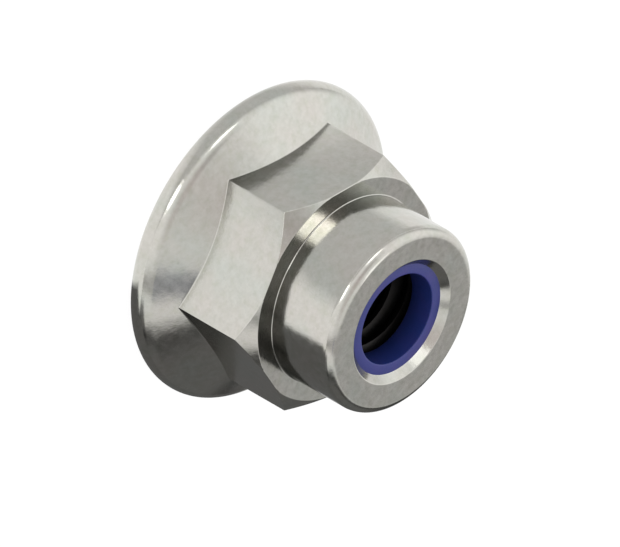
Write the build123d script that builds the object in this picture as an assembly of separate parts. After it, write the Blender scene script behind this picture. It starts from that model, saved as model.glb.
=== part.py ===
from build123d import *
import math
import os

# Prevailing-torque hexagon nut with a serrated flange, in two pieces: the cold-formed steel
# nut body, and the polyamide locking ring that is rolled into its collar.
# Millimetres. The origin is the centre of the bearing face; +Z runs along the thread axis
# towards the collar; two corners of the hexagon lie on the X axis.

# ---- hexagon and flange -------------------------------------------------------------
across_flats = 10.0
flange_diameter = 14.2
rim_round = 0.7            # radius of the rounded rim, from the bearing face up to the cone
flange_slope = 30.0        # degrees, upper face of the flange
nut_height = 9.1
shoulder_height = 5.75     # bearing face to the flat shoulder that the collar stands on
shoulder_diameter = 10.1   # outer edge of the flat shoulder, where the corner chamfer starts
corner_chamfer = 40.5      # degrees below the shoulder

# ---- collar and its rolled lip ------------------------------------------------------
collar_diameter = 8.46
lip_round = 0.35           # outer edge of the end face
lip_mouth_diameter = 5.64  # inner edge of the end face
lip_opening_diameter = 5.03  # narrowest place of the lip, just wider than the screw
lip_root_thickness = 0.65  # lip at the pocket wall, measured down from the end face

# ---- locking ring -------------------------------------------------------------------
ring_depth = 0.29          # end face of the nut down to the top of the ring
ring_thickness = 1.2
ring_outer_diameter = 7.0
ring_bore_diameter = 4.09

# ---- thread -------------------------------------------------------------------------
thread_diameter = 5.0
thread_pitch = 0.8
minor_per_pitch = 1.0825   # ISO metric: minor diameter = nominal - 1.0825 x pitch
countersink_diameter = 5.6
countersink_angle = 45.0   # degrees between the countersink's wall and the thread axis

# ---- serrated bearing face ----------------------------------------------------------
tooth_count = 30
tooth_depth = 0.24         # at the outer end of a tooth
tooth_land = 2.4           # degrees of flat crest that each tooth keeps
teeth_inner_diameter = 7.8
teeth_outer_diameter = 12.6
teeth_end_slope = 45.0     # degrees, the outer end of each gullet
land_recess = 0.08         # the plain ring inside the teeth lies this much higher

# ---- derived sizes ------------------------------------------------------------------
thread_minor_radius = (thread_diameter - minor_per_pitch * thread_pitch) / 2
rim_centre_radius = flange_diameter / 2 - rim_round
ring_top = nut_height - ring_depth
ring_bottom = ring_top - ring_thickness
overrun = 1.0              # how far cutting tools stand past what they cut


def tan(degrees):
    return math.tan(math.radians(degrees))


def flange_disc():
    """Flange with a flat underside, a full round rim and a sloping upper face."""
    slope = math.radians(flange_slope)
    rim_mid = (rim_centre_radius + rim_round, rim_round)
    rim_top = (rim_centre_radius + rim_round * math.sin(slope), rim_round * (1 + math.cos(slope)))
    core_radius = across_flats / 4
    core_top = rim_top[1] + (rim_top[0] - core_radius) * math.tan(slope)
    with BuildPart() as disc:
        with BuildSketch(Plane.XZ):
            with BuildLine():
                Line((0, 0), (rim_centre_radius, 0))
                TangentArc((rim_centre_radius, 0), rim_mid, tangent=(1, 0))
                TangentArc(rim_mid, rim_top, tangent=(0, 1))
                Polyline(rim_top, (core_radius, core_top), (0, core_top), (0, 0))
            make_face()
        revolve(axis=Axis.Z)
    return disc.part


def chamfered_hexagon():
    """Hexagon whose corners are turned off to a cone that starts at the flat shoulder."""
    reach = across_flats
    drop = (reach - shoulder_diameter / 2) * tan(corner_chamfer)
    with BuildPart() as prism:
        with BuildSketch(Plane.XY.offset(rim_round)):
            RegularPolygon(radius=across_flats / 2, side_count=6, major_radius=False)
        extrude(amount=shoulder_height - rim_round)
    with BuildPart() as turned:
        with BuildSketch(Plane.XZ):
            Polygon(
                (0, shoulder_height),
                (shoulder_diameter / 2, shoulder_height),
                (reach, shoulder_height - drop),
                (reach, -drop),
                (0, -drop),
                align=None,
            )
        revolve(axis=Axis.Z)
    return prism.part & turned.part


def collar():
    """Collar that stands on the shoulder, with a rounded outer edge at its end face."""
    outer = collar_diameter / 2
    foot = shoulder_height - overrun
    round_start = (outer, nut_height - lip_round)
    round_end = (outer - lip_round, nut_height)
    with BuildPart() as turned:
        with BuildSketch(Plane.XZ):
            with BuildLine():
                Polyline((0, foot), (outer, foot), round_start)
                TangentArc(round_start, round_end, tangent=(0, 1))
                Polyline(round_end, (0, nut_height), (0, foot))
            make_face()
        revolve(axis=Axis.Z)
    return turned.part


def ring_section():
    """Half section of the ring's seat: flat at the opening, pressed down under the lip."""
    return [
        (ring_outer_diameter / 2, ring_bottom),
        (ring_outer_diameter / 2, nut_height - lip_root_thickness),
        (lip_opening_diameter / 2, ring_top),
    ]


def inner_form():
    """Everything that is open inside the body: countersink, tapping bore, ring pocket, lip."""
    mouth = lip_mouth_diameter / 2
    sink_foot = countersink_diameter / 2 + overrun * tan(countersink_angle)
    sink_top = land_recess + (countersink_diameter / 2 - thread_minor_radius) / tan(countersink_angle)
    with BuildPart() as hollow:
        with BuildSketch(Plane.XZ):
            Polygon((0, land_recess - overrun), (sink_foot, land_recess - overrun),
                    (thread_minor_radius, sink_top), (thread_minor_radius, ring_bottom),
                    *ring_section(), (mouth, nut_height), (mouth, nut_height + overrun),
                    (0, nut_height + overrun), align=None)
        revolve(axis=Axis.Z)
    return hollow.part


def gullet():
    """Wedge between two crests: upright where a crest ends, then a long ramp to the next.

    Tightening turns the nut clockwise seen from the collar, so the ramps lead then and the
    upright flanks lead, and bite, when it is undone.
    """
    start = math.radians(tooth_land / 2)
    end = math.radians(360 / tooth_count - tooth_land / 2)
    inner = teeth_inner_diameter / 2 - overrun
    outer = teeth_outer_diameter / 2 + overrun
    rise = tooth_depth / (teeth_outer_diameter / 2)

    def at(radius, angle, height=0.0):
        return Vector(radius * math.cos(angle), radius * math.sin(angle), height)

    inner_start, outer_start = at(inner, start), at(outer, start)
    inner_end, outer_end = at(inner, end), at(outer, end)
    inner_deep, outer_deep = at(inner, start, rise * inner), at(outer, start, rise * outer)
    outlines = [
        (inner_start, outer_start, outer_end, inner_end),
        (inner_start, inner_deep, outer_deep, outer_start),
        (inner_deep, inner_end, outer_end, outer_deep),
        (inner_start, inner_end, inner_deep),
        (outer_start, outer_deep, outer_end),
    ]
    faces = [Face(Wire.make_polygon(points, close=True)) for points in outlines]
    return Solid(Shell(faces))


def tooth_band():
    """Ring that the teeth lie in; its outer side slopes, so each gullet runs out below the rim."""
    inner = teeth_inner_diameter / 2
    outer = teeth_outer_diameter / 2
    top = 2 * tooth_depth
    with BuildPart() as band:
        with BuildSketch(Plane.XZ):
            Polygon((inner, -overrun), (outer + overrun / tan(teeth_end_slope), -overrun),
                    (outer - top / tan(teeth_end_slope), top), (inner, top), align=None)
        revolve(axis=Axis.Z)
    return band.part


def bearing_recess():
    """Plain ring inside the teeth, set back so that the teeth bear first."""
    with BuildPart() as recess:
        with BuildSketch(Plane.XY.offset(land_recess - overrun)):
            Circle(teeth_inner_diameter / 2)
        extrude(amount=overrun)
    return recess.part


def nut_body():
    body = flange_disc() + chamfered_hexagon() + collar()
    body = body - inner_form() - bearing_recess()
    wedge = gullet() & tooth_band()
    return body - [location * wedge for location in PolarLocations(0, tooth_count)]


def locking_ring():
    with BuildPart() as ring:
        with BuildSketch(Plane.XZ):
            Polygon((ring_bore_diameter / 2, ring_bottom), *ring_section(),
                    (ring_bore_diameter / 2, ring_top), align=None)
        revolve(axis=Axis.Z)
    return ring.part


def write(shape, node):
    """One STEP file for each piece, with what it measures."""
    shape.label = node
    export_step(shape, f"parts/{node}.step")
    box = shape.bounding_box().size
    print(f"{node}: {box.X:.2f} x {box.Y:.2f} x {box.Z:.2f} mm, {shape.volume:.2f} mm3")


os.makedirs("parts", exist_ok=True)
write(nut_body(), "nut_body")
write(locking_ring(), "locking_ring")
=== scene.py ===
# %% [markdown]
# # A serrated flange lock nut, built to be looked at closely
#
# The nut is two things: a cold-formed metal body, and a blue polyamide ring that is trapped in its
# collar and grips the screw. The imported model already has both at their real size. This lesson
# gives them the rounds, the thread and the finishes that a close view needs, without moving either.

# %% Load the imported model
import math

import bmesh
import bpy
from mathutils import Matrix, Vector


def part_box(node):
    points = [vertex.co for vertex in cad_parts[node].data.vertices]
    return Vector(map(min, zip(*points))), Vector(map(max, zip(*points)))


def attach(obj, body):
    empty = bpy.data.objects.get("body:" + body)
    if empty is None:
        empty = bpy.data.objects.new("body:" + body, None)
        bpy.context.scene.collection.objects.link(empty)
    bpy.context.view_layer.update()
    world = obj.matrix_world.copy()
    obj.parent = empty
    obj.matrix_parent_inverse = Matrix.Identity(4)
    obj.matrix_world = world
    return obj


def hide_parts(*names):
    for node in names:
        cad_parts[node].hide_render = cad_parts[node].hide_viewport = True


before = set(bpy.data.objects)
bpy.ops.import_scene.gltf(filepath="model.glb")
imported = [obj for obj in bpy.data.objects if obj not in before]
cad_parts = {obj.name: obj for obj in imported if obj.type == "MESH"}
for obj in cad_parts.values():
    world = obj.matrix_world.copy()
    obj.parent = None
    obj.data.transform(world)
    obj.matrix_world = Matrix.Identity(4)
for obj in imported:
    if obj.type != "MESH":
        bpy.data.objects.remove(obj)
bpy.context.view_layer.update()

# %% [markdown]
# ## Sizes
#
# Everything is written in millimetres and made metres at the last moment by `MM`. The sizes are the
# part's own: a hexagon 10 mm across its flats, a 14.2 mm flange, and an M5 thread. The heights of
# the nut and of the ring are read back from the frame, so they can't drift from the solids.

# %% Driving sizes
MM = 0.001
ACROSS_FLATS = 10.0
FLANGE_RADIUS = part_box("nut_body")[1][0] / MM
NUT_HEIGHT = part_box("nut_body")[1][2] / MM
RING_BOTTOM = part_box("locking_ring")[0][2] / MM
RING_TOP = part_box("locking_ring")[1][2] / MM

RIM_ROUND = 0.7
FLANGE_SLOPE = math.radians(30)
SHOULDER_HEIGHT = 5.75
SHOULDER_RADIUS = 5.05
CHAMFER_SLOPE = math.radians(40.5)
COLLAR_RADIUS = 4.23
LIP_ROUND = 0.42
MOUTH_RADIUS = 2.82
LIP_OPENING_RADIUS = 2.515
POCKET_RADIUS = 3.5
LIP_ROOT_HEIGHT = NUT_HEIGHT - 0.65
RING_BORE_RADIUS = 2.045

THREAD_MAJOR_RADIUS = 2.5
THREAD_MINOR_RADIUS = 2.067
THREAD_PITCH = 0.8
COUNTERSINK_RADIUS = 2.8

TOOTH_COUNT = 30
TOOTH_DEPTH = 0.24
TOOTH_LAND = 2.4
TEETH_INNER_RADIUS = 3.9
TEETH_OUTER_RADIUS = 6.3
LAND_RECESS = 0.08
print(f"flange {2 * FLANGE_RADIUS:.2f} mm, height {NUT_HEIGHT:.2f} mm,",
      f"ring {RING_TOP - RING_BOTTOM:.2f} mm thick")

# %% [markdown]
# ## One rule for the outline
#
# A hexagon nut with a flange is turned and hexagonal at once: a cone, a cylinder and a chamfer meet
# six flat faces. Cutting one solid with another gives those curved edges, but leaves them razor
# sharp. Here each cut through the axis is drawn by itself instead. At any angle the wall of the
# hexagon stands at a known radius, so the cone below it and the chamfer above it end there, and
# every corner of the cut gets its own small round. Sweeping the cut round the axis then gives the
# scalloped edges by itself, each with a true soft edge to catch the light.

# %% Rounding the corners of a cut
HOLD = 0.03
HOLD_SHARE = 0.4
ALMOST_STRAIGHT = math.radians(1)


def arc_points(corner, to_back, to_ahead, turn, arc_radius, steps):
    """The round of one corner, from where it leaves one side to where it joins the next."""
    reach = arc_radius * math.tan(turn / 2)
    start, end = corner + to_back * reach, corner + to_ahead * reach
    if turn < ALMOST_STRAIGHT:
        return [start.lerp(end, k / steps) for k in range(steps + 1)]
    centre = corner + (to_back + to_ahead).normalized() * math.hypot(arc_radius, reach)
    spoke = start - centre
    side = 1 if spoke.cross(end - centre) > 0 else -1
    return [centre + Matrix.Rotation(side * turn * k / steps, 2) @ spoke for k in range(steps + 1)]


def rounded(corners):
    """Points along (radius, height, round, steps) corners, each made an arc of steps + 1 points.

    A point is added a little before and after every arc, at most HOLD away, so that the flat
    stretches shade flat.
    """
    places = [Vector((r, z)) for r, z, _, _ in corners]
    arcs = [[places[0]]]
    for before, corner, after, sizes in zip(places, places[1:], places[2:], corners[1:-1]):
        arc_radius, steps = sizes[2:]
        to_back, to_ahead = (before - corner).normalized(), (after - corner).normalized()
        turn = math.pi - to_back.angle(to_ahead)
        arc = arc_points(corner, to_back, to_ahead, turn, arc_radius, steps) if steps else [corner]
        arcs.append(arc)
    arcs.append([places[-1]])
    line = list(arcs[0])
    for arc, following in zip(arcs, arcs[1:]):
        start, end = arc[-1], following[0]
        straight = (end - start).length
        share = min(HOLD, straight * HOLD_SHARE) / max(straight, 1e-9)
        if len(arc) > 1:
            line.append(start.lerp(end, share))
        if len(following) > 1:
            line.append(end.lerp(start, share))
        line += following
    return line


# %% The hexagon's radius at an angle
CORNER_ROUND = 0.025


def wall_radius(angle):
    """Distance from the axis to the hexagon's wall, where angle 0 is a corner with a small round."""
    flat = ACROSS_FLATS / 2
    off_corner = abs((angle + math.pi / 6) % (math.pi / 3) - math.pi / 6)
    round_centre = (flat - CORNER_ROUND) / math.cos(math.pi / 6)
    on_flat = flat / math.cos(math.pi / 6 - off_corner)
    under_root = CORNER_ROUND**2 - (round_centre * math.sin(off_corner)) ** 2
    if under_root <= 0:
        return on_flat
    return min(on_flat, round_centre * math.cos(off_corner) + math.sqrt(under_root))


print("corner radius", round(wall_radius(0), 3), "flat radius", round(wall_radius(math.pi / 6), 3))

# %% The cut at an angle
CREASE_ROUND = 0.05
CHAMFER_ROUND = 0.04
CHAMFER_LEAST = 0.06
COLLAR_FOOT_ROUND = 0.045


def flange_top(radius):
    """Height of the flange's sloping face."""
    rim_centre = FLANGE_RADIUS - RIM_ROUND
    tangent_radius = rim_centre + RIM_ROUND * math.sin(FLANGE_SLOPE)
    tangent_height = RIM_ROUND * (1 + math.cos(FLANGE_SLOPE))
    return tangent_height + (tangent_radius - radius) * math.tan(FLANGE_SLOPE)


def cut(angle):
    """The body's section at an angle, from the outer end of the teeth round to their inner end."""
    wall = wall_radius(angle)
    chamfer_drop = (wall - SHOULDER_RADIUS) * math.tan(CHAMFER_SLOPE)
    wall_top = min(SHOULDER_HEIGHT, SHOULDER_HEIGHT - chamfer_drop)
    sink_height = LAND_RECESS + COUNTERSINK_RADIUS - THREAD_MAJOR_RADIUS
    corners = [
        (TEETH_OUTER_RADIUS, 0, 0, 0),
        (FLANGE_RADIUS, 0, RIM_ROUND, 14),
        (FLANGE_RADIUS, flange_top(FLANGE_RADIUS), RIM_ROUND, 12),
        (wall, flange_top(wall), CREASE_ROUND, 4),
        (wall, wall_top, CHAMFER_ROUND, 5),
        (min(SHOULDER_RADIUS, wall - CHAMFER_LEAST), SHOULDER_HEIGHT, CREASE_ROUND, 3),
        (COLLAR_RADIUS, SHOULDER_HEIGHT, COLLAR_FOOT_ROUND, 5),
        (COLLAR_RADIUS, NUT_HEIGHT, LIP_ROUND, 12),
        (MOUTH_RADIUS, NUT_HEIGHT, CREASE_ROUND, 4),
        (LIP_OPENING_RADIUS, RING_TOP, 0, 0),
        (POCKET_RADIUS, LIP_ROOT_HEIGHT, 0, 0),
        (POCKET_RADIUS, RING_BOTTOM, 0, 0),
        (THREAD_MAJOR_RADIUS, RING_BOTTOM, 0, 0),
        (THREAD_MAJOR_RADIUS, sink_height, 0, 0),
        (COUNTERSINK_RADIUS, LAND_RECESS, 0, 0),
        (TEETH_INNER_RADIUS, LAND_RECESS, 0, 0),
    ]
    return rounded(corners)


print("points in a cut:", len(cut(0)), "at a corner,", len(cut(math.pi / 6)), "at a flat")

# %% [markdown]
# ## One sixth, copied round the axis
#
# The hexagon repeats six times, and the 30 teeth repeat five times in each sixth. Modelling the
# whole ring at once would work too, but a small node tree that copies any slice round the axis
# serves both: a sixth of the body is copied 6 times, and one tooth 30 times. The angles of the cuts
# follow the teeth, so the two rings meet point to point and weld into one closed skin.

# %% Angles of the cuts, and the sixth
TOOTH_PITCH = 360 / TOOTH_COUNT
HALF_LAND = TOOTH_LAND / 2
LAND_STEPS = [-HALF_LAND, -0.5, -0.3, -0.2, -0.1, 0, 0.1, 0.2, 0.3, 0.5, HALF_LAND]
RAMP_STEPS = [HALF_LAND + (TOOTH_PITCH - TOOTH_LAND) * k / 10 for k in range(1, 11)]
SAME_ANGLE = 1e-6


def slice_angles(teeth):
    """Angles in degrees across a slice that is a whole number of teeth wide, mid ramp to mid ramp."""
    one = LAND_STEPS + RAMP_STEPS[:-1]
    every = [TOOTH_PITCH * k + a for k in range(-teeth, teeth + 1) for a in one]
    edge = TOOTH_PITCH * teeth / 2 + SAME_ANGLE
    return sorted({round(a, 6) for a in every if -edge <= a <= edge})


def new_object(name, vertices, faces):
    mesh = bpy.data.meshes.new(name)
    mesh.from_pydata([Vector(v) * MM for v in vertices], [], faces)
    mesh.update()
    piece = bpy.data.objects.new(name, mesh)
    bpy.context.scene.collection.objects.link(piece)
    return piece


def swept(name, angles, cuts):
    """A net of faces through (radius, height) cuts, each at its own angle about the axis."""
    rows = len(cuts[0])
    vertices = [(r * math.cos(a), r * math.sin(a), z) for a, points in zip(angles, cuts) for r, z in points]
    faces = [(c * rows + r, (c + 1) * rows + r, (c + 1) * rows + r + 1, c * rows + r + 1)
             for c in range(len(cuts) - 1) for r in range(rows - 1)]
    return new_object(name, vertices, faces)


sixth_angles = [math.radians(a) for a in slice_angles(TOOTH_COUNT // 6)]
sixth = swept("body_sixth", sixth_angles, [cut(a) for a in sixth_angles])
print("sixth:", len(sixth.data.vertices), "points,", len(sixth.data.polygons), "faces")

# %% One tooth
GULLET_STEPS = 8
FLANK_TURN = 1e-4


def gullet_height(angle, radius):
    """Height of the bearing side above the crests, at an angle in degrees past a crest's middle."""
    if abs(angle) <= HALF_LAND:
        return 0.0
    left = (TOOTH_PITCH - HALF_LAND - angle) / (TOOTH_PITCH - TOOTH_LAND)
    full = TOOTH_DEPTH * radius / TEETH_OUTER_RADIUS * left
    return max(0.0, min(full, TEETH_OUTER_RADIUS - radius))


def tooth_slice():
    """From one crest's start to the next: the crest, an upright flank, and a ramp to the next crest.

    The flank is two cuts at one angle: the first reads its heights on the crest, the second just
    past it.
    """
    width = TEETH_OUTER_RADIUS - TEETH_INNER_RADIUS
    radii = [TEETH_INNER_RADIUS + width * (1 - (1 - k / GULLET_STEPS) ** 2) for k in range(GULLET_STEPS + 1)]
    angles = LAND_STEPS + [HALF_LAND] + RAMP_STEPS
    readings = LAND_STEPS + [HALF_LAND + FLANK_TURN] + RAMP_STEPS[:-1] + [0]
    shelf = (TEETH_INNER_RADIUS, LAND_RECESS)
    cuts = [[shelf] + [(r, gullet_height(reading, r)) for r in radii] for reading in readings]
    return swept("tooth", [math.radians(a) for a in angles], cuts)


tooth = tooth_slice()
print("tooth:", len(tooth.data.polygons), "faces")

# %% [markdown]
# Node trees are wired up socket by socket, which is long to read. Three helpers shorten it: each
# takes sockets and plain values alike. Both trees of shapes below start and end in the same way
# too, with named inputs for their sizes, and a material set on what they made.

# %% Helpers for node trees
def feed(tree, socket, value):
    """Join a socket to an input, or set the input to a plain value."""
    if isinstance(value, bpy.types.NodeSocket):
        tree.links.new(value, socket)
    else:
        socket.default_value = value


def add_node(tree, kind, **inputs):
    """A new node, with its named inputs fed."""
    made = tree.nodes.new(kind)
    for name, value in inputs.items():
        feed(tree, made.inputs[name.replace("_", " ")], value)
    return made


def add_math(tree, operation, *values, clamp=False):
    maths = tree.nodes.new("ShaderNodeMath")
    maths.operation = operation
    maths.use_clamp = clamp
    for socket, value in zip(maths.inputs, values):
        feed(tree, socket, value)
    return maths.outputs[0]

# %% The start and the end of a tree of shapes
def new_tree(name, sizes):
    """A tree with a shape, its sizes as {name: (kind, value)} and a material going in."""
    tree = bpy.data.node_groups.new(name, "GeometryNodeTree")
    tree.interface.new_socket("Geometry", in_out="INPUT", socket_type="NodeSocketGeometry")
    for size, (kind, value) in sizes.items():
        tree.interface.new_socket(size, in_out="INPUT", socket_type=kind).default_value = value
    tree.interface.new_socket("Material", in_out="INPUT", socket_type="NodeSocketMaterial")
    tree.interface.new_socket("Geometry", in_out="OUTPUT", socket_type="NodeSocketGeometry")
    return tree, tree.nodes.new("NodeGroupInput").outputs


def end_tree(tree, given, shape):
    finish = add_node(tree, "GeometryNodeSetMaterial", Geometry=shape, Material=given["Material"])
    feed(tree, tree.nodes.new("NodeGroupOutput").inputs[0], finish.outputs[0])


# %% The node tree that copies a slice round the axis
WELD = 0.0000005


def ring_of_copies_tree():
    sizes = {"Copies": ("NodeSocketInt", 6), "Weld distance": ("NodeSocketFloat", WELD)}
    tree, given = new_tree("ring of copies", sizes)
    whole = add_node(tree, "GeometryNodeGeometryToInstance", Geometry=given["Geometry"])
    copies = tree.nodes.new("GeometryNodeDuplicateElements")
    copies.domain = "INSTANCE"
    feed(tree, copies.inputs["Geometry"], whole.outputs[0])
    feed(tree, copies.inputs["Amount"], given["Copies"])
    step = add_math(tree, "DIVIDE", 2 * math.pi, given["Copies"])
    turn = add_math(tree, "MULTIPLY", step, copies.outputs["Duplicate Index"])
    about_axis = add_node(tree, "ShaderNodeCombineXYZ", Z=turn)
    turned = add_node(tree, "GeometryNodeRotateInstances", Instances=copies.outputs["Geometry"],
                      Rotation=about_axis.outputs[0])
    real = add_node(tree, "GeometryNodeRealizeInstances", Geometry=turned.outputs[0])
    weld = add_node(tree, "GeometryNodeMergeByDistance", Geometry=real.outputs[0],
                    Distance=given["Weld distance"])
    end_tree(tree, given, weld.outputs[0])
    return tree


def run_tree(piece, tree, **values):
    """Evaluates a node tree on a piece and gives back the plain mesh it made."""
    modifier = piece.modifiers.new(tree.name, "NODES")
    modifier.node_group = tree
    for item in tree.interface.items_tree:
        if item.in_out == "INPUT" and item.name in values:
            modifier[item.identifier] = values[item.name]
    graph = bpy.context.evaluated_depsgraph_get()
    mesh = bpy.data.meshes.new_from_object(piece.evaluated_get(graph))
    piece.modifiers.remove(modifier)
    bpy.data.objects.remove(piece)
    return mesh


ring_of_copies = ring_of_copies_tree()
body_ring = run_tree(sixth, ring_of_copies, Copies=6)
tooth_ring = run_tree(tooth, ring_of_copies, Copies=TOOTH_COUNT)
print("six sixths:", len(body_ring.vertices), "points; teeth:", len(tooth_ring.vertices), "points")

# %% Weld both rings into one skin
def joined(name, *meshes):
    """One object from several meshes, welded where they meet, with its faces turned outwards."""
    skin = bmesh.new()
    for mesh in meshes:
        skin.from_mesh(mesh)
    bmesh.ops.remove_doubles(skin, verts=skin.verts, dist=WELD)
    bmesh.ops.dissolve_degenerate(skin, edges=skin.edges, dist=WELD)
    bmesh.ops.recalc_face_normals(skin, faces=skin.faces)
    open_edges = sum(1 for e in skin.edges if len(e.link_faces) != 2)
    mesh = bpy.data.meshes.new(name)
    skin.to_mesh(mesh)
    skin.free()
    piece = bpy.data.objects.new(name, mesh)
    bpy.context.scene.collection.objects.link(piece)
    print(f"{name}: {len(mesh.polygons)} faces, {open_edges} open edges")
    return piece


nut = joined("nut_metal", body_ring, tooth_ring)

# %% [markdown]
# ## The thread
#
# The solid body has a plain bore at the thread's minor diameter. Here the bore is as wide as the
# thread's major diameter, and a ridge runs up it in a helix. A tap leaves exactly that: a groove as
# deep as the ridge is high. The ridge follows a path, so nodes make it: a spiral, a trapezium swept
# along it, and a size that fades at both ends, where the tap runs in and out.

# %% The sizes of the ridge
PLAIN_BORE = 0.35
THREAD_TURNS = (RING_BOTTOM - LAND_RECESS - PLAIN_BORE) / THREAD_PITCH
CREST_WIDTH = THREAD_PITCH / 4
ROOT_WIDTH = THREAD_PITCH * 7 / 8
RUN_OUT = 0.06
RIDGE_END = 0.01
RIDGE_FOOT = 0.08
STEPS_IN_A_TURN = 72
print("thread turns", round(THREAD_TURNS, 2))

# %% The helical ridge
def helix_tree():
    names = ("Turns", "Lead", "Wall radius", "Ridge height", "Crest width", "Root width", "Run-out share")
    sizes = {name: ("NodeSocketFloat", 1.0) for name in names}
    sizes["Steps in a turn"] = ("NodeSocketInt", STEPS_IN_A_TURN)
    tree, given = new_tree("helical ridge", sizes)

    rise = add_math(tree, "MULTIPLY", given["Turns"], given["Lead"])
    spiral = add_node(tree, "GeometryNodeCurveSpiral", Resolution=given["Steps in a turn"],
                      Rotations=given["Turns"], Start_Radius=given["Wall radius"],
                      End_Radius=given["Wall radius"], Height=rise, Reverse=True)
    upright = add_node(tree, "GeometryNodeSetCurveNormal", Curve=spiral.outputs[0])
    upright.mode = "Z_UP"

    along = tree.nodes.new("GeometryNodeSplineParameter").outputs["Factor"]
    from_start = add_math(tree, "DIVIDE", along, given["Run-out share"])
    from_end = add_math(tree, "DIVIDE", add_math(tree, "SUBTRACT", 1.0, along), given["Run-out share"])
    nearer = add_math(tree, "MINIMUM", from_start, from_end)
    fade = add_math(tree, "MAXIMUM", add_math(tree, "MINIMUM", nearer, 1.0), RIDGE_END)

    half_root = add_math(tree, "MULTIPLY", given["Root width"], 0.5)
    half_crest = add_math(tree, "MULTIPLY", given["Crest width"], 0.5)
    behind = add_math(tree, "MULTIPLY", given["Ridge height"], RIDGE_FOOT)
    inward = add_math(tree, "MULTIPLY", given["Ridge height"], -1.0)
    corners = [(behind, half_root, 1), (inward, half_crest, 1),
               (inward, half_crest, -1), (behind, half_root, -1)]
    trapezium = tree.nodes.new("GeometryNodeCurvePrimitiveQuadrilateral")
    trapezium.mode = "POINTS"
    for number, (depth, half, side) in enumerate(corners, start=1):
        corner = add_node(tree, "ShaderNodeCombineXYZ", X=depth, Y=add_math(tree, "MULTIPLY", half, side))
        feed(tree, trapezium.inputs[f"Point {number}"], corner.outputs[0])

    sweep = add_node(tree, "GeometryNodeCurveToMesh", Curve=upright.outputs[0],
                     Profile_Curve=trapezium.outputs[0], Scale=fade, Fill_Caps=True)
    real = add_node(tree, "GeometryNodeRealizeInstances", Geometry=sweep.outputs[0])
    end_tree(tree, given, real.outputs[0])
    return tree


def thread_ridge():
    """The ridge as a plain mesh, lifted to stand in the middle of the bore."""
    seed_piece = new_object("thread", [(0, 0, 0)], [])
    values = {
        "Turns": THREAD_TURNS,
        "Lead": THREAD_PITCH * MM,
        "Wall radius": THREAD_MAJOR_RADIUS * MM,
        "Ridge height": (THREAD_MAJOR_RADIUS - THREAD_MINOR_RADIUS) * MM,
        "Crest width": CREST_WIDTH * MM,
        "Root width": ROOT_WIDTH * MM,
        "Run-out share": RUN_OUT,
        "Steps in a turn": STEPS_IN_A_TURN,
    }
    mesh = run_tree(seed_piece, helix_tree(), **values)
    mesh.transform(Matrix.Translation((0, 0, (LAND_RECESS + PLAIN_BORE / 2) * MM)))
    return mesh


ridge = thread_ridge()
radii = [math.hypot(v.co.x, v.co.y) / MM for v in ridge.vertices]
heights = [v.co.z / MM for v in ridge.vertices]
print("ridge radii", round(min(radii), 3), "to", round(max(radii), 3),
      "heights", round(min(heights), 3), "to", round(max(heights), 3))

# %% [markdown]
# ## The locking ring
#
# The ring is turned from polyamide tube, dropped into the collar and closed in when the lip is
# rolled over it. Only its flat front and its bore can be seen, but it is modelled whole, as a slice
# of its section that the same node tree copies round the axis.

# %% The ring
RING_SLICE = 12
RING_STEPS = 8
RING_ROUND = 0.05
SEAM_RADIUS = POCKET_RADIUS - 0.5


def ring_slice():
    corners = [
        (SEAM_RADIUS, RING_BOTTOM, 0, 0),
        (POCKET_RADIUS, RING_BOTTOM, 0, 0),
        (POCKET_RADIUS, LIP_ROOT_HEIGHT, 0, 0),
        (LIP_OPENING_RADIUS, RING_TOP, 0, 0),
        (RING_BORE_RADIUS, RING_TOP, RING_ROUND, 5),
        (RING_BORE_RADIUS, RING_BOTTOM, RING_ROUND, 5),
        (SEAM_RADIUS, RING_BOTTOM, 0, 0),
    ]
    angles = [math.radians(RING_SLICE * k / RING_STEPS) for k in range(RING_STEPS + 1)]
    return swept("ring_slice", angles, [rounded(corners)] * len(angles))


ring_skin = run_tree(ring_slice(), ring_of_copies, Copies=360 // RING_SLICE)
ring = joined("ring_polyamide", ring_skin)
thread = joined("thread_ridge", ridge)

# %% [markdown]
# ## Shading the pieces
#
# Faces that meet at a gentle angle shade as one surface, and sharp edges stay sharp. The rounds
# above have small steps, so a limit of 40 degrees keeps every real edge crisp.

# %% Smooth faces, sharp edges
SHARP_ANGLE = math.radians(40)

for piece in (nut, ring, thread):
    piece.data.polygons.foreach_set("use_smooth", [True] * len(piece.data.polygons))
    piece.data.set_sharp_from_angle(angle=SHARP_ANGLE)
    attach(piece, "root")
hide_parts("nut_body")
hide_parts("locking_ring")
print("sharp edges:",
      {piece.name: sum(edge.use_edge_sharp for edge in piece.data.edges) for piece in (nut, ring, thread)})

# %% [markdown]
# ## Small helpers for the finishes
#
# Every finish below is a small node tree. Most of its nodes do sums, mix noises or turn a number
# into a tone, so a few more helpers keep those trees short to read. Noises are given by their
# features to the millimetre, their detail and a fixed seed, and `in_mm` scales the object's own
# coordinates to match.

# %% Helpers for vectors
def add_vector_math(tree, operation, *values):
    """The same as `add_math` for vectors. A length and a dot product come out as a number."""
    maths = tree.nodes.new("ShaderNodeVectorMath")
    maths.operation = operation
    for socket, value in zip(maths.inputs, values):
        feed(tree, socket, value)
    return maths.outputs["Value" if operation in ("LENGTH", "DOT_PRODUCT") else "Vector"]


def axes_of(tree, vector):
    """A vector's X, Y and Z, by name."""
    return add_node(tree, "ShaderNodeSeparateXYZ", Vector=vector).outputs


# %% Helpers for colours, shaders and noises
def add_mix(tree, factor, first, second, blend="MIX"):
    """One colour mixed into another."""
    mix = tree.nodes.new("ShaderNodeMix")
    mix.data_type, mix.blend_type = "RGBA", blend
    for socket, value in ((mix.inputs[0], factor), (mix.inputs[6], first), (mix.inputs[7], second)):
        feed(tree, socket, value)
    return mix.outputs[2]


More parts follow.
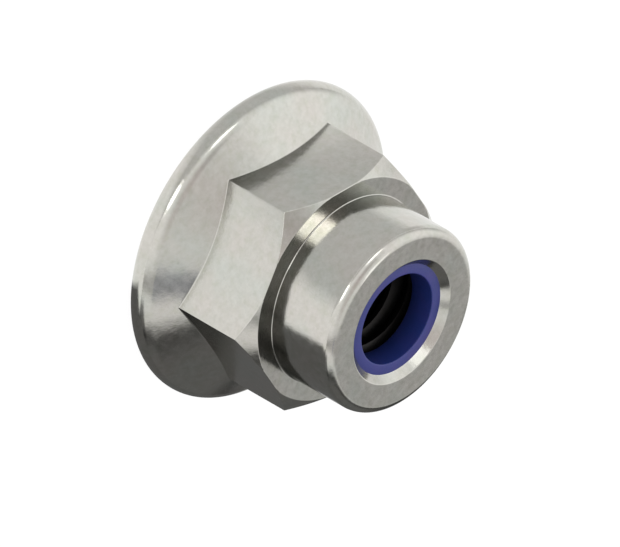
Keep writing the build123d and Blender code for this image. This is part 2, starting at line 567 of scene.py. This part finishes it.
def add_shader_mix(tree, factor, first, second):
    """One shader mixed into another."""
    mix = add_node(tree, "ShaderNodeMixShader", Fac=factor)
    feed(tree, mix.inputs[1], first)
    feed(tree, mix.inputs[2], second)
    return mix.outputs[0]


def add_ramp(tree, value, stops):
    """A ramp from (position, grey or colour) stops."""
    ramp = add_node(tree, "ShaderNodeValToRGB", Fac=value)
    while len(ramp.color_ramp.elements) < len(stops):
        ramp.color_ramp.elements.new(0.5)
    for element, (position, tone) in zip(ramp.color_ramp.elements, stops):
        element.position = position
        element.color = (tone, tone, tone, 1) if isinstance(tone, (int, float)) else (*tone, 1)
    return ramp.outputs[0]


def in_mm(tree, stretch=(1, 1, 1)):
    """The object's own coordinates in millimetres, squeezed on each axis by a factor."""
    place = tree.nodes.new("ShaderNodeTexCoord").outputs["Object"]
    return add_vector_math(tree, "MULTIPLY", place, [share / MM for share in stretch])


def add_noise(tree, place, per_mm, detail, seed):
    """Noise from 0 to 1."""
    noise = tree.nodes.new("ShaderNodeTexNoise")
    noise.noise_dimensions = "4D"
    for name, value in (("Vector", place), ("Scale", per_mm), ("Detail", detail), ("W", seed)):
        feed(tree, noise.inputs[name], value)
    return noise.outputs[0]


def new_material(name):
    made = bpy.data.materials.new(name)
    made.use_nodes = True
    made.node_tree.nodes.clear()
    return made


# %% [markdown]
# ## Bright steel
#
# The body is pressed cold in a die and then tumbled, so its faces are bright but not polished. Seen
# close, a face is a field of very shallow dents a few tenths of a millimetre across, under a fine
# grain, and the flow of the metal leaves faint streaks along the axis on the upright faces. A
# mirror-like surface shows such tiny slopes as a mottle wherever the room changes from light to
# dark. So most of the mottle isn't painted: it is a bump made of three noises, and the room does
# the rest. The colour adds a slow drift, soft clouds and a fine frosting, none of them stronger
# than an eighth. Edges are painted brighter, partly as rubbed wear and partly as a painted
# highlight along them; the bevel node finds them by itself, because its smoothed normal leaves the
# true one only near an edge. The faces that lie flat are scuffed by the rolling tool, and the bore
# below the ring is painted almost black, a painted shade where little light gets in.

# %% The dents, grain and streaks of a pressed face
DENTS, DENT_HEIGHT = (1.7, 3.0, 3.1), 0.0075
GRAIN, GRAIN_HEIGHT = (13.0, 2.0, 7.7), 0.0012
STREAKS, STREAK_HEIGHT = (7.0, 2.0, 1.4), 0.0016
STREAK_SQUEEZE = 0.12
STREAK_FADE = 2.0


def facing(tree):
    """How far a face looks along each axis."""
    return axes_of(tree, tree.nodes.new("ShaderNodeTexCoord").outputs["Normal"])


def pressed_height(tree):
    """Height of the steel's surface in mm, as the sum of dents, grain, and streaks on upright faces."""
    place = in_mm(tree)
    streaks = add_noise(tree, in_mm(tree, (1, 1, STREAK_SQUEEZE)), *STREAKS)
    lying = add_math(tree, "ABSOLUTE", facing(tree)["Z"])
    upright = add_math(tree, "MULTIPLY_ADD", lying, -STREAK_FADE, 1.0, clamp=True)
    height = add_math(tree, "MULTIPLY", add_noise(tree, place, *DENTS), DENT_HEIGHT)
    height = add_math(tree, "MULTIPLY_ADD", add_noise(tree, place, *GRAIN), GRAIN_HEIGHT, height)
    shown = add_math(tree, "MULTIPLY", streaks, upright)
    return add_math(tree, "MULTIPLY_ADD", shown, STREAK_HEIGHT, height)


print("dents, grain and streaks, micrometres:",
      [round(height * 1000, 1) for height in (DENT_HEIGHT, GRAIN_HEIGHT, STREAK_HEIGHT)])

# %% Where edges are rubbed, and painted with a highlight
# Edges are painted brighter, partly as rubbed wear and partly as a painted highlight along them.
WEAR_HIGHLIGHT_WIDTH = 0.09
WEAR_HIGHLIGHT_GAIN = 9.0
WEAR_HIGHLIGHT_SAMPLES = 4


def worn_and_highlit_edges(tree, patches):
    """1 on edges, worn and painted with a highlight, and 0 on faces, broken up by a patchy noise."""
    soft = add_node(tree, "ShaderNodeBevel", Radius=WEAR_HIGHLIGHT_WIDTH * MM)
    soft.samples = WEAR_HIGHLIGHT_SAMPLES
    true = tree.nodes.new("ShaderNodeNewGeometry").outputs["Normal"]
    bend = add_math(tree, "SUBTRACT", 1.0, add_vector_math(tree, "DOT_PRODUCT", soft.outputs[0], true))
    return add_math(tree, "MULTIPLY", add_math(tree, "MULTIPLY", bend, WEAR_HIGHLIGHT_GAIN, clamp=True), patches)


# %% Where the faces are scuffed, and where the bore is painted dark
SCUFF_NOISE = (3.6, 3.0, 12.5)
SCUFF_DEPTH = [(0.36, 0.09), (0.48, 0.03), (0.62, 0.0)]
FLAT_GAIN = 8.0
# The bore below the ring is painted almost black: a painted shade, where little light gets in.
SHADED_BORE_RADIUS = 2.55
SHADED_BORE_TOP = 7.8


def scuffs(tree, place):
    """A grey factor that darkens small patches, on the faces that lie flat only."""
    flat = add_math(tree, "MULTIPLY_ADD", facing(tree)["Z"], FLAT_GAIN, 1 - FLAT_GAIN, clamp=True)
    depth = add_ramp(tree, add_noise(tree, place, *SCUFF_NOISE), SCUFF_DEPTH)
    return add_math(tree, "SUBTRACT", 1.0, add_math(tree, "MULTIPLY", flat, depth))


def shaded_bore_mask(tree, place):
    """1 inside the bore below the ring, where the shade is painted, and 0 everywhere else."""
    parts = axes_of(tree, place)
    squares = add_math(tree, "MULTIPLY", parts["X"], parts["X"])
    squares = add_math(tree, "MULTIPLY_ADD", parts["Y"], parts["Y"], squares)
    inside = add_math(tree, "LESS_THAN", squares, SHADED_BORE_RADIUS**2)
    return add_math(tree, "MULTIPLY", inside, add_math(tree, "LESS_THAN", parts["Z"], SHADED_BORE_TOP))


# %% The steel
STEEL = (0.643, 0.633, 0.585)
DRIFT_NOISE = (0.55, 2.0, 5.2)
DRIFT = [(0.32, (0.622, 0.634, 0.588)), (0.50, STEEL), (0.66, (0.656, 0.631, 0.588))]
PATCH_NOISE = (3.2, 3.0, 9.4)
CLOUDED = [(0.32, (0.91, 0.92, 0.885)), (0.50, (0.968, 0.966, 0.96)), (0.66, 1.01)]
FROST_NOISE = (8.0, 2.0, 4.8)
FROSTED = [(0.36, 0.96), (0.62, 1.0)]
# Brighter steel for the edges: partly rubbed wear, partly a painted highlight.
WORN_HIGHLIT_STEEL = (0.74, 0.73, 0.68, 1)
# Almost black steel: the painted shade of the bore below the ring.
SHADED_BORE_STEEL = (0.05, 0.048, 0.047, 1)
SMOOTHEST = 0.09
PATCHES_ROUGHER, RUBBED_ROUGHER, SHADED_BORE_ROUGHER = 0.12, -0.05, 0.18


def steel_material():
    made = new_material("bright steel")
    tree = made.node_tree
    place = in_mm(tree)
    patches = add_noise(tree, place, *PATCH_NOISE)
    wear_and_highlight = worn_and_highlit_edges(tree, patches)
    shaded_bore = shaded_bore_mask(tree, place)

    colour = add_ramp(tree, add_noise(tree, place, *DRIFT_NOISE), DRIFT)
    clouded = add_ramp(tree, patches, CLOUDED)
    frosted = add_ramp(tree, add_noise(tree, place, *FROST_NOISE), FROSTED)
    for darker in (clouded, frosted, scuffs(tree, place)):
        colour = add_mix(tree, 1.0, colour, darker, "MULTIPLY")
    # Edges painted brighter: partly rubbed wear, partly a painted highlight.
    colour = add_mix(tree, wear_and_highlight, colour, WORN_HIGHLIT_STEEL)
    # Painted shade: the bore below the ring is painted almost black.
    colour = add_mix(tree, shaded_bore, colour, SHADED_BORE_STEEL)

    roughness = SMOOTHEST
    for where, rougher in ((patches, PATCHES_ROUGHER), (wear_and_highlight, RUBBED_ROUGHER), (shaded_bore, SHADED_BORE_ROUGHER)):
        roughness = add_math(tree, "MULTIPLY_ADD", where, rougher, roughness)
    bump = add_node(tree, "ShaderNodeBump", Distance=MM, Height=pressed_height(tree))
    shader = add_node(tree, "ShaderNodeBsdfPrincipled", Metallic=1.0, Roughness=roughness,
                      Base_Color=colour, Normal=bump.outputs[0])
    add_node(tree, "ShaderNodeOutputMaterial", Surface=shader.outputs[0])
    return made


steel = steel_material()
print("steel:", len(steel.node_tree.nodes), "nodes")

# %% [markdown]
# ## Blue polyamide
#
# The ring is cut from tube, so its flat front has the fine rings of the parting tool, and polyamide
# has a soft, slightly greasy gloss. Its dye is deep and even, a little lighter where the cut is
# rougher. The rings follow the distance from the axis, so they are a wave of that distance, and a
# noise makes them come and go. Down the drilled bore the dye is painted ever darker towards its far
# end, by the height: a painted shade for the light that doesn't reach in there.

# %% The polyamide
RING_MARKS_PER_MM = 11.0
MARK_HEIGHT = 0.0009
SPECKS, SPECK_HEIGHT = (16.0, 2.0, 6.3), 0.004
DYE_NOISE = (1.3, 3.0, 2.6)
DYE = [(0.30, (0.037, 0.049, 0.245)), (0.52, (0.044, 0.053, 0.262)), (0.70, (0.058, 0.053, 0.262))]
# Painted shade down the ring's bore: tones that darken the dye from its mouth to its far end.
RING_BORE_SHADE_RADIUS = RING_BORE_RADIUS + 0.02
RING_BORE_SHADE = [(0.0, (0.50, 0.74, 0.80)), (0.5, (0.36, 0.56, 0.62)), (1.0, (0.18, 0.28, 0.32))]
RING_SMOOTHEST = 0.26
SPECKS_ROUGHER = 0.20


def polyamide_material():
    made = new_material("blue polyamide")
    tree = made.node_tree
    place = in_mm(tree)
    from_axis = add_vector_math(tree, "LENGTH", in_mm(tree, (1, 1, 0)))
    cloud = add_noise(tree, place, *DYE_NOISE)
    speck = add_noise(tree, place, *SPECKS)
    wave = add_math(tree, "SINE", add_math(tree, "MULTIPLY", from_axis, 2 * math.pi * RING_MARKS_PER_MM))
    marks = add_math(tree, "MULTIPLY", wave, add_math(tree, "MULTIPLY", cloud, MARK_HEIGHT))
    height = add_math(tree, "MULTIPLY_ADD", speck, SPECK_HEIGHT, marks)

    dye = add_ramp(tree, cloud, DYE)
    # Painted shade: inside the bore the dye grows darker towards the far end, by the height.
    in_bore = add_math(tree, "LESS_THAN", from_axis, RING_BORE_SHADE_RADIUS)
    bore_depth = add_node(tree, "ShaderNodeMapRange", Value=axes_of(tree, place)["Z"],
                    From_Min=RING_TOP, From_Max=RING_BOTTOM)
    darker = add_ramp(tree, bore_depth.outputs[0], RING_BORE_SHADE)
    dye = add_mix(tree, in_bore, dye, add_mix(tree, 1.0, dye, darker, "MULTIPLY"))

    roughness = add_math(tree, "MULTIPLY_ADD", speck, SPECKS_ROUGHER, RING_SMOOTHEST)
    bump = add_node(tree, "ShaderNodeBump", Distance=MM, Height=height)
    shader = add_node(tree, "ShaderNodeBsdfPrincipled", Base_Color=dye, Roughness=roughness,
                      Normal=bump.outputs[0])
    add_node(tree, "ShaderNodeOutputMaterial", Surface=shader.outputs[0])
    return made


polyamide = polyamide_material()
for piece, finish, slot in ((nut, steel, "steel"), (thread, steel, "steel"), (ring, polyamide, "polyamide")):
    piece.data.materials.clear()
    piece.data.materials.append(finish)
print("polyamide:", len(polyamide.node_tree.nodes), "nodes")

# %% [markdown]
# ## The camera
#
# A small part is pictured from far off with a long lens, so its parallel edges stay parallel. An
# orthographic camera gives exactly that. It looks down on the collar from the front, and is rolled
# so that the thread's axis runs across the picture. Its place follows from one mark on the axis
# that has to land on one pixel, and its scale from how many pixels a millimetre covers.

# %% Camera
IMAGE_WIDTH, IMAGE_HEIGHT = 620, 547
PIXELS_PER_MM = 24.303
TO_CAMERA = Vector((0.78868, 0.21133, 0.57735)).normalized()
IMAGE_RIGHT = Vector((-0.35355, -0.61238, 0.70711)).normalized()
IMAGE_UP = TO_CAMERA.cross(IMAGE_RIGHT)
MARK = Vector((0, 0, 5.13))
MARK_PIXEL = (333.83, 282.77)
CAMERA_DISTANCE = 60

camera_data = bpy.data.cameras.new("camera")
camera_data.type = "ORTHO"
camera_data.ortho_scale = IMAGE_WIDTH / PIXELS_PER_MM * MM
camera_data.clip_start = 0.001
camera_data.clip_end = 5
camera = bpy.data.objects.new("camera", camera_data)
bpy.context.scene.collection.objects.link(camera)
right_mm = (MARK_PIXEL[0] - IMAGE_WIDTH / 2) / PIXELS_PER_MM
down_mm = (MARK_PIXEL[1] - IMAGE_HEIGHT / 2) / PIXELS_PER_MM
aim = MARK - IMAGE_RIGHT * right_mm + IMAGE_UP * down_mm
turned = Matrix((IMAGE_RIGHT, IMAGE_UP, TO_CAMERA)).transposed()
camera.matrix_world = Matrix.LocRotScale((aim + TO_CAMERA * CAMERA_DISTANCE) * MM, turned, None)
bpy.context.scene.camera = camera
print("picture width:", round(camera_data.ortho_scale * 1000, 2), "mm")

# %% [markdown]
# ## A floor that shows white and keeps the shadow
#
# Bare metal has no colour of its own to speak of: it shows the room. So the set matters as much as
# the finish. The floor is pale and looks white, and lights the nut only as a pale floor would. For
# the camera and for reflections, most of its light is its own, at a strength of about 1, which is
# white. The rest is plain diffuse paint, so that the nut still leaves its faint shadow there. From
# below the floor is clear, so that the bearing face can be looked at too.
#
# Between the flange and the walls the floor is seen by way of two reflections. `FLOOR_TWICE` calms
# it for such light, more on one side of the nut than on the other, and so keeps the dark line
# along the foot of the walls.

# %% Light that has met the metal more than once
def calmed(tree, path, tone, first):
    """1 for light that has met the metal once, and the tone for light that has met it more often.

    A ray's depth counts its meetings, and `first` is the depth that it has after one.
    """
    more = add_math(tree, "SUBTRACT", path["Ray Depth"], float(first), clamp=True)
    return add_math(tree, "POWER", tone, more)


# %% Floor
FLOOR_PAINT = (0.9, 0.9, 0.9, 1)
FLOOR_GLOW_SHARE = 0.85
FLOOR_GLOW = 1.12
FLOOR_TWICE = (0.58, 0.95)
FLOOR_TWICE_EDGE = 3.0
FLOOR_REACH = 2000


def floor_material():
    made = new_material("white floor")
    tree = made.node_tree
    path = tree.nodes.new("ShaderNodeLightPath").outputs
    twice = add_node(tree, "ShaderNodeMapRange", Value=axes_of(tree, in_mm(tree))["Y"],
                     From_Min=-FLOOR_TWICE_EDGE, From_Max=FLOOR_TWICE_EDGE,
                     To_Min=FLOOR_TWICE[0], To_Max=FLOOR_TWICE[1]).outputs[0]
    strength = add_math(tree, "MULTIPLY", calmed(tree, path, twice, 1), FLOOR_GLOW)
    glow = add_node(tree, "ShaderNodeEmission", Strength=strength).outputs[0]
    paint = add_node(tree, "ShaderNodeBsdfDiffuse", Color=FLOOR_PAINT).outputs[0]
    clear = tree.nodes.new("ShaderNodeBsdfTransparent").outputs[0]

    mirrored = add_math(tree, "MAXIMUM", path["Is Glossy Ray"], path["Is Transmission Ray"])
    seen = add_math(tree, "MAXIMUM", path["Is Camera Ray"], mirrored)
    above = add_shader_mix(tree, add_math(tree, "MULTIPLY", seen, FLOOR_GLOW_SHARE), paint, glow)
    from_below = tree.nodes.new("ShaderNodeNewGeometry").outputs["Backfacing"]
    either = add_shader_mix(tree, from_below, above, clear)
    add_node(tree, "ShaderNodeOutputMaterial", Surface=either)
    made.cycles.emission_sampling = "NONE"
    return made


def stage_piece(name, vertices, faces, finish):
    """A flat piece of the set, given in mm."""
    piece = new_object(name, vertices, faces)
    piece.data.materials.append(finish)
    return piece


corners = [(x * FLOOR_REACH, y * FLOOR_REACH, 0) for x, y in ((-1, -1), (1, -1), (1, 1), (-1, 1))]
stage_piece("floor", corners, [(0, 1, 2, 3)], floor_material())
print("floor:", 2 * FLOOR_REACH / 1000, "m across")

# %% [markdown]
# ## Cards beside the nut
#
# In a studio, cards shape shiny metal: a dark one gives an edge its line, a grey one calms a face.
# Here two cards lie on the floor, and a third shades the gap under the flange. Only reflections
# see them, as if they were held just out of view. A card with a hard edge would cut a hard line
# across the collar, so each card fades out over a width that is given with its corners. The fade
# is a value stored on the card's points, and the finish makes the card clear where it is 0. The
# grey card is calmer for light that has met the metal more than once, as the floor is.

# %% Cards with faded edges
def card_material(name, tone, twice):
    made = new_material(name)
    tree = made.node_tree
    fade = tree.nodes.new("ShaderNodeAttribute")
    fade.attribute_name = "fade"
    path = tree.nodes.new("ShaderNodeLightPath").outputs
    glow = add_node(tree, "ShaderNodeEmission", Color=(tone, tone, tone, 1),
                    Strength=calmed(tree, path, twice, 1)).outputs[0]
    clear = tree.nodes.new("ShaderNodeBsdfTransparent").outputs[0]
    surface = add_shader_mix(tree, fade.outputs["Fac"], clear, glow)
    add_node(tree, "ShaderNodeOutputMaterial", Surface=surface)
    made.cycles.emission_sampling = "NONE"
    return made


def faded_card(name, corners, height, tone, twice=1.0):
    """A card from (x, y, width of the fade) corners in mm, anticlockwise, seen by reflections alone."""
    count = len(corners)
    inner, outer = [], []
    for k, (x, y, fade) in enumerate(corners):
        here = Vector((x, y))
        before, after = Vector(corners[k - 1][:2]), Vector(corners[(k + 1) % count][:2])
        along = (here - before).normalized() + (after - here).normalized()
        out = Vector((along.y, -along.x)).normalized() * fade / 2
        inner.append((*(here - out), height))
        outer.append((*(here + out), height))
    rim = [(k, (k + 1) % count, count + (k + 1) % count, count + k) for k in range(count)]
    finish = card_material(name, tone, twice)
    card = stage_piece(name, inner + outer, [tuple(range(count)), *rim], finish)
    values = card.data.attributes.new("fade", "FLOAT", "POINT")
    values.data.foreach_set("value", [1.0] * count + [0.0] * count)
    card.visible_camera = card.visible_diffuse = card.visible_shadow = False
    print(name, "with", count, "corners, tone", tone)


# %% The cards on the floor
CARD_HEIGHT = 0.02
DARK_CORNERS = [
    (4.1, 5.4, 0.4), (4.7, 6.7, 0.6), (3.5, 9.5, 0.9), (3.0, 12, 1.2), (3.3, 15, 1.5), (5.0, 30, 3),
    (250, 1900, 60), (-1900, 1900, 60), (-1900, -530, 60), (-30, -5, 5), (-13, 2.6, 3), (-7.5, 4.3, 1.6)]
GREY_CORNERS = [
    (5.4, -4.6, 0.8), (4.4, -7.5, 2), (3, -13, 3), (0, -20, 5), (-15, -150, 30), (150, -150, 30),
    (150, 80, 30), (18, 16, 5), (13.2, 8.2, 4), (11.2, 5.1, 3.4), (8.4, 1.9, 2.0), (7.0, -0.8, 1.2)]
UNDER_RADIUS, UNDER_FADE = 6.4, 0.4
UNDER_CORNERS = [(UNDER_RADIUS * math.cos(turn), UNDER_RADIUS * math.sin(turn), UNDER_FADE)
                 for turn in (math.radians(k) for k in range(0, 360, 12))]

faded_card("dark card", DARK_CORNERS, CARD_HEIGHT, 0.12)
faded_card("grey card", GREY_CORNERS, CARD_HEIGHT, 0.64, twice=0.48)
faded_card("shade under the nut", UNDER_CORNERS, CARD_HEIGHT + 0.01, 0.10)

# %% [markdown]
# One more card is held just above the collar. It is small and bright, and so close that only the
# sloping lip of the mouth meets it, where it leaves one white spot. A lamp far away would reach
# the flange and the chamfers at the same angle too.

# %% A bright card above the mouth
MOUTH_CARD_HEIGHT = 13.7
MOUTH_CORNERS = [(-0.73, -1.71, 0.25), (1.14, -3.51, 0.25), (2.45, -1.16, 0.25), (-0.08, -0.53, 0.25)]
faded_card("mouth card", MOUTH_CORNERS, MOUTH_CARD_HEIGHT, 1.55)

# %% [markdown]
# ## The room
#
# The rest of the set is the world. The camera sees it as plain white, and all that follows is for
# the light and the reflections. It is pale all round, with a dark side behind the nut that gives
# the shape its contrast, a grey ring round that side, and a softer patch overhead. Each of these is
# round, so each is a tone that depends only on the angle from its middle. A second kind of part
# lies between two compass directions and two heights. The room is the product of them all.

# %% Tones of the room's round parts, by the angle from their middle
GREY_RING = [
    (180, 0.98), (110, 1.0), (82, 1.0), (76, 0.94), (70, 0.84), (68, 0.74), (66.5, 0.60), (64.5, 0.47),
    (62.5, 0.42), (60, 0.50), (57, 0.71), (55, 0.84), (53, 0.91), (50, 0.91), (46, 0.84), (0, 0.83)]
DARK_SIDE = [
    (180, 1.0), (48, 1.0), (45, 0.91), (43.2, 0.62), (41.3, 0.34), (39.5, 0.14), (37.6, 0.08),
    (35.5, 0.075), (30, 0.125), (24, 0.165), (0, 0.165)]
FAR_EDGE = [(180, 1.0), (24, 1.0), (15, 0.30), (0, 0.28)]
BLUE_SPOT = [
    (180, 1.0), (7, 1.0), (3.5, (0.95, 0.96, 1.0)), (1.2, (0.69, 0.71, 0.79)),
    (0, (0.67, 0.69, 0.78))]
OVERHEAD = [
    (180, 1.0), (42, 1.0), (36, 0.94), (30, 0.88), (24, (0.80, 0.79, 0.785)), (18, (0.73, 0.71, 0.705)),
    (11, (0.70, 0.66, 0.655)), (0, (0.70, 0.66, 0.655))]
GREY_SPOT = [(180, 1.0), (17, 1.0), (7, 0.82), (0, 0.82)]
ROUND_PARTS = [
    (138, 0, GREY_RING), (150, 5, DARK_SIDE), (5, 66, OVERHEAD),
    (-28, 60, GREY_SPOT), (-170, -8, FAR_EDGE), (119.6, 60.9, BLUE_SPOT)]
print("round parts of the room:", len(ROUND_PARTS))


# %% Round parts of the room
def towards(azimuth, elevation):
    """The direction at an azimuth and an elevation in degrees."""
    azimuth, elevation = math.radians(azimuth), math.radians(elevation)
    level = math.cos(elevation)
    return Vector((math.cos(azimuth) * level, math.sin(azimuth) * level, math.sin(elevation)))


def round_part(tree, direction, azimuth, elevation, tones):
    """A tone by the angle from a middle direction, from (angle, tone) pairs with the widest first."""
    near = add_vector_math(tree, "DOT_PRODUCT", direction, towards(azimuth, elevation))
    stops = [((math.cos(math.radians(angle)) + 1) / 2, tone) for angle, tone in tones]
    return add_ramp(tree, add_math(tree, "MULTIPLY_ADD", near, 0.5, 0.5), stops)


# %% Parts of the room between level edges
# Each has its west and east edge, their softness, the start and end of its lower and of its upper
# edge, all in degrees, and its tone.
LEVEL_PARTS = [
    (-120, 15, 15, (-80, -70), (0, 30), 0.60),
    (89, 113, 4, (-80, -70), (9, 20), 0.20),
    (-135, -72, 12, (12, 28), (56, 66), 1.10)]


def step_up(tree, value, start, end):
    """0 before start, 1 after end, and a soft step between."""
    step = add_node(tree, "ShaderNodeMapRange", Value=value, From_Min=start, From_Max=end)
    step.interpolation_type = "SMOOTHSTEP"
    return step.outputs[0]


def between(tree, value, low, high):
    """1 between two soft edges and 0 outside them."""
    return add_math(tree, "SUBTRACT", step_up(tree, value, *low), step_up(tree, value, *high))


def level_part(tree, compass, height, west, east, soft, low, high, tone):
    """A tone inside its four edges, and 1 outside them."""
    low, high = [[math.sin(math.radians(angle)) for angle in edge] for edge in (low, high)]
    across = between(tree, compass, (west - soft, west + soft), (east - soft, east + soft))
    upward = between(tree, height, low, high)
    return add_math(tree, "MULTIPLY_ADD", add_math(tree, "MULTIPLY", across, upward), tone - 1, 1.0)


print("level parts of the room:", len(LEVEL_PARTS))

# %% [markdown]
# Where steel mirrors steel, light is lost twice over, and a nut has many such places: the collar's
# foot, the bore, the thread. `TWICE` gives the room's tone for light that has met the metal more
# than once, by compass direction, and `STRIPE` is a window for such light, which lies across the
# collar's foot as a white stripe. The world counts a ray's depth from 2 at its first reflection,
# and the floor from 1.

# %% The world
TWICE = [
    (-180, 0.50), (-150, 0.70), (-125, 0.58), (-105, 0.40), (-88, 0.22), (-75, 0.15), (-55, 0.21),
    (-20, 0.21), (-5, 0.19), (15, 0.245), (37, 0.225), (60, 0.165), (83, 0.18), (105, 0.12),
    (118, 0.10), (136, 0.48), (152, 0.48), (165, 0.35), (180, 0.50)]
STRIPE = (-46, -12, 3, (20, 28), (42, 50), 13)
WHITE = (1, 1, 1, 1)


def room_world():
    world = bpy.data.worlds.new("studio")
    world.use_nodes = True
    tree = world.node_tree
    tree.nodes.clear()
    direction = tree.nodes.new("ShaderNodeTexCoord").outputs["Generated"]
    x, y, height = axes_of(tree, direction)
    compass = add_math(tree, "MULTIPLY", add_math(tree, "ARCTAN2", y, x), 180 / math.pi)

    colour = WHITE
    for part in ROUND_PARTS:
        colour = add_mix(tree, 1.0, colour, round_part(tree, direction, *part), "MULTIPLY")
    strength = 1.0
    for part in LEVEL_PARTS:
        strength = add_math(tree, "MULTIPLY", strength, level_part(tree, compass, height, *part))

    share_of_turn = add_math(tree, "MULTIPLY_ADD", compass, 1 / 360, 0.5)
    twice = add_ramp(tree, share_of_turn, [(azimuth / 360 + 0.5, tone) for azimuth, tone in TWICE])
    twice = add_math(tree, "MULTIPLY", twice, level_part(tree, compass, height, *STRIPE))
    path = tree.nodes.new("ShaderNodeLightPath").outputs
    strength = add_math(tree, "MULTIPLY", strength, calmed(tree, path, twice, 2))

    room = add_node(tree, "ShaderNodeBackground", Color=colour, Strength=strength).outputs[0]
    backdrop = add_node(tree, "ShaderNodeBackground", Color=WHITE, Strength=1.0).outputs[0]
    either = add_shader_mix(tree, path["Is Camera Ray"], room, backdrop)
    add_node(tree, "ShaderNodeOutputWorld", Surface=either)
    print("world:", len(tree.nodes), "nodes")
    return world


bpy.context.scene.world = room_world()

# %% [markdown]
# ## Windows
#
# Windows give the metal more white accents, such as short arcs on the flange's rim and on the
# collar's edge. Each is an area lamp far away that faces the nut. Its place and size are given as
# they look from the nut, in degrees, and its power follows from its area, so that it looks equally
# bright at any distance.

# %% Window lamps
WINDOW_DISTANCE = 300


def window_lamp(name, azimuth, elevation, width, height, radiance):
    """An oval lamp seen from the nut at an angle, with its size in degrees too."""
    way = towards(azimuth, elevation)
    data = bpy.data.lights.new(name, "AREA")
    data.shape = "ELLIPSE"
    data.size = 2 * WINDOW_DISTANCE * MM * math.tan(math.radians(width / 2))
    data.size_y = 2 * WINDOW_DISTANCE * MM * math.tan(math.radians(height / 2))
    data.energy = radiance * math.pi * data.size * data.size_y * math.pi / 4
    lamp = bpy.data.objects.new(name, data)
    lamp.location = way * WINDOW_DISTANCE * MM
    lamp.rotation_euler = way.to_track_quat("Z", "Y").to_euler()
    bpy.context.scene.collection.objects.link(lamp)
    print(f"{name}: {data.size * 1000:.0f} by {data.size_y * 1000:.0f} mm, {data.energy:.2f} W")


window_lamp("near window", 18.5, 7, 19, 27, 1.8)
window_lamp("side window", -31.5, 25.5, 22, 13, 1.7)

view = bpy.context.scene.view_settings
view.view_transform = "Standard"
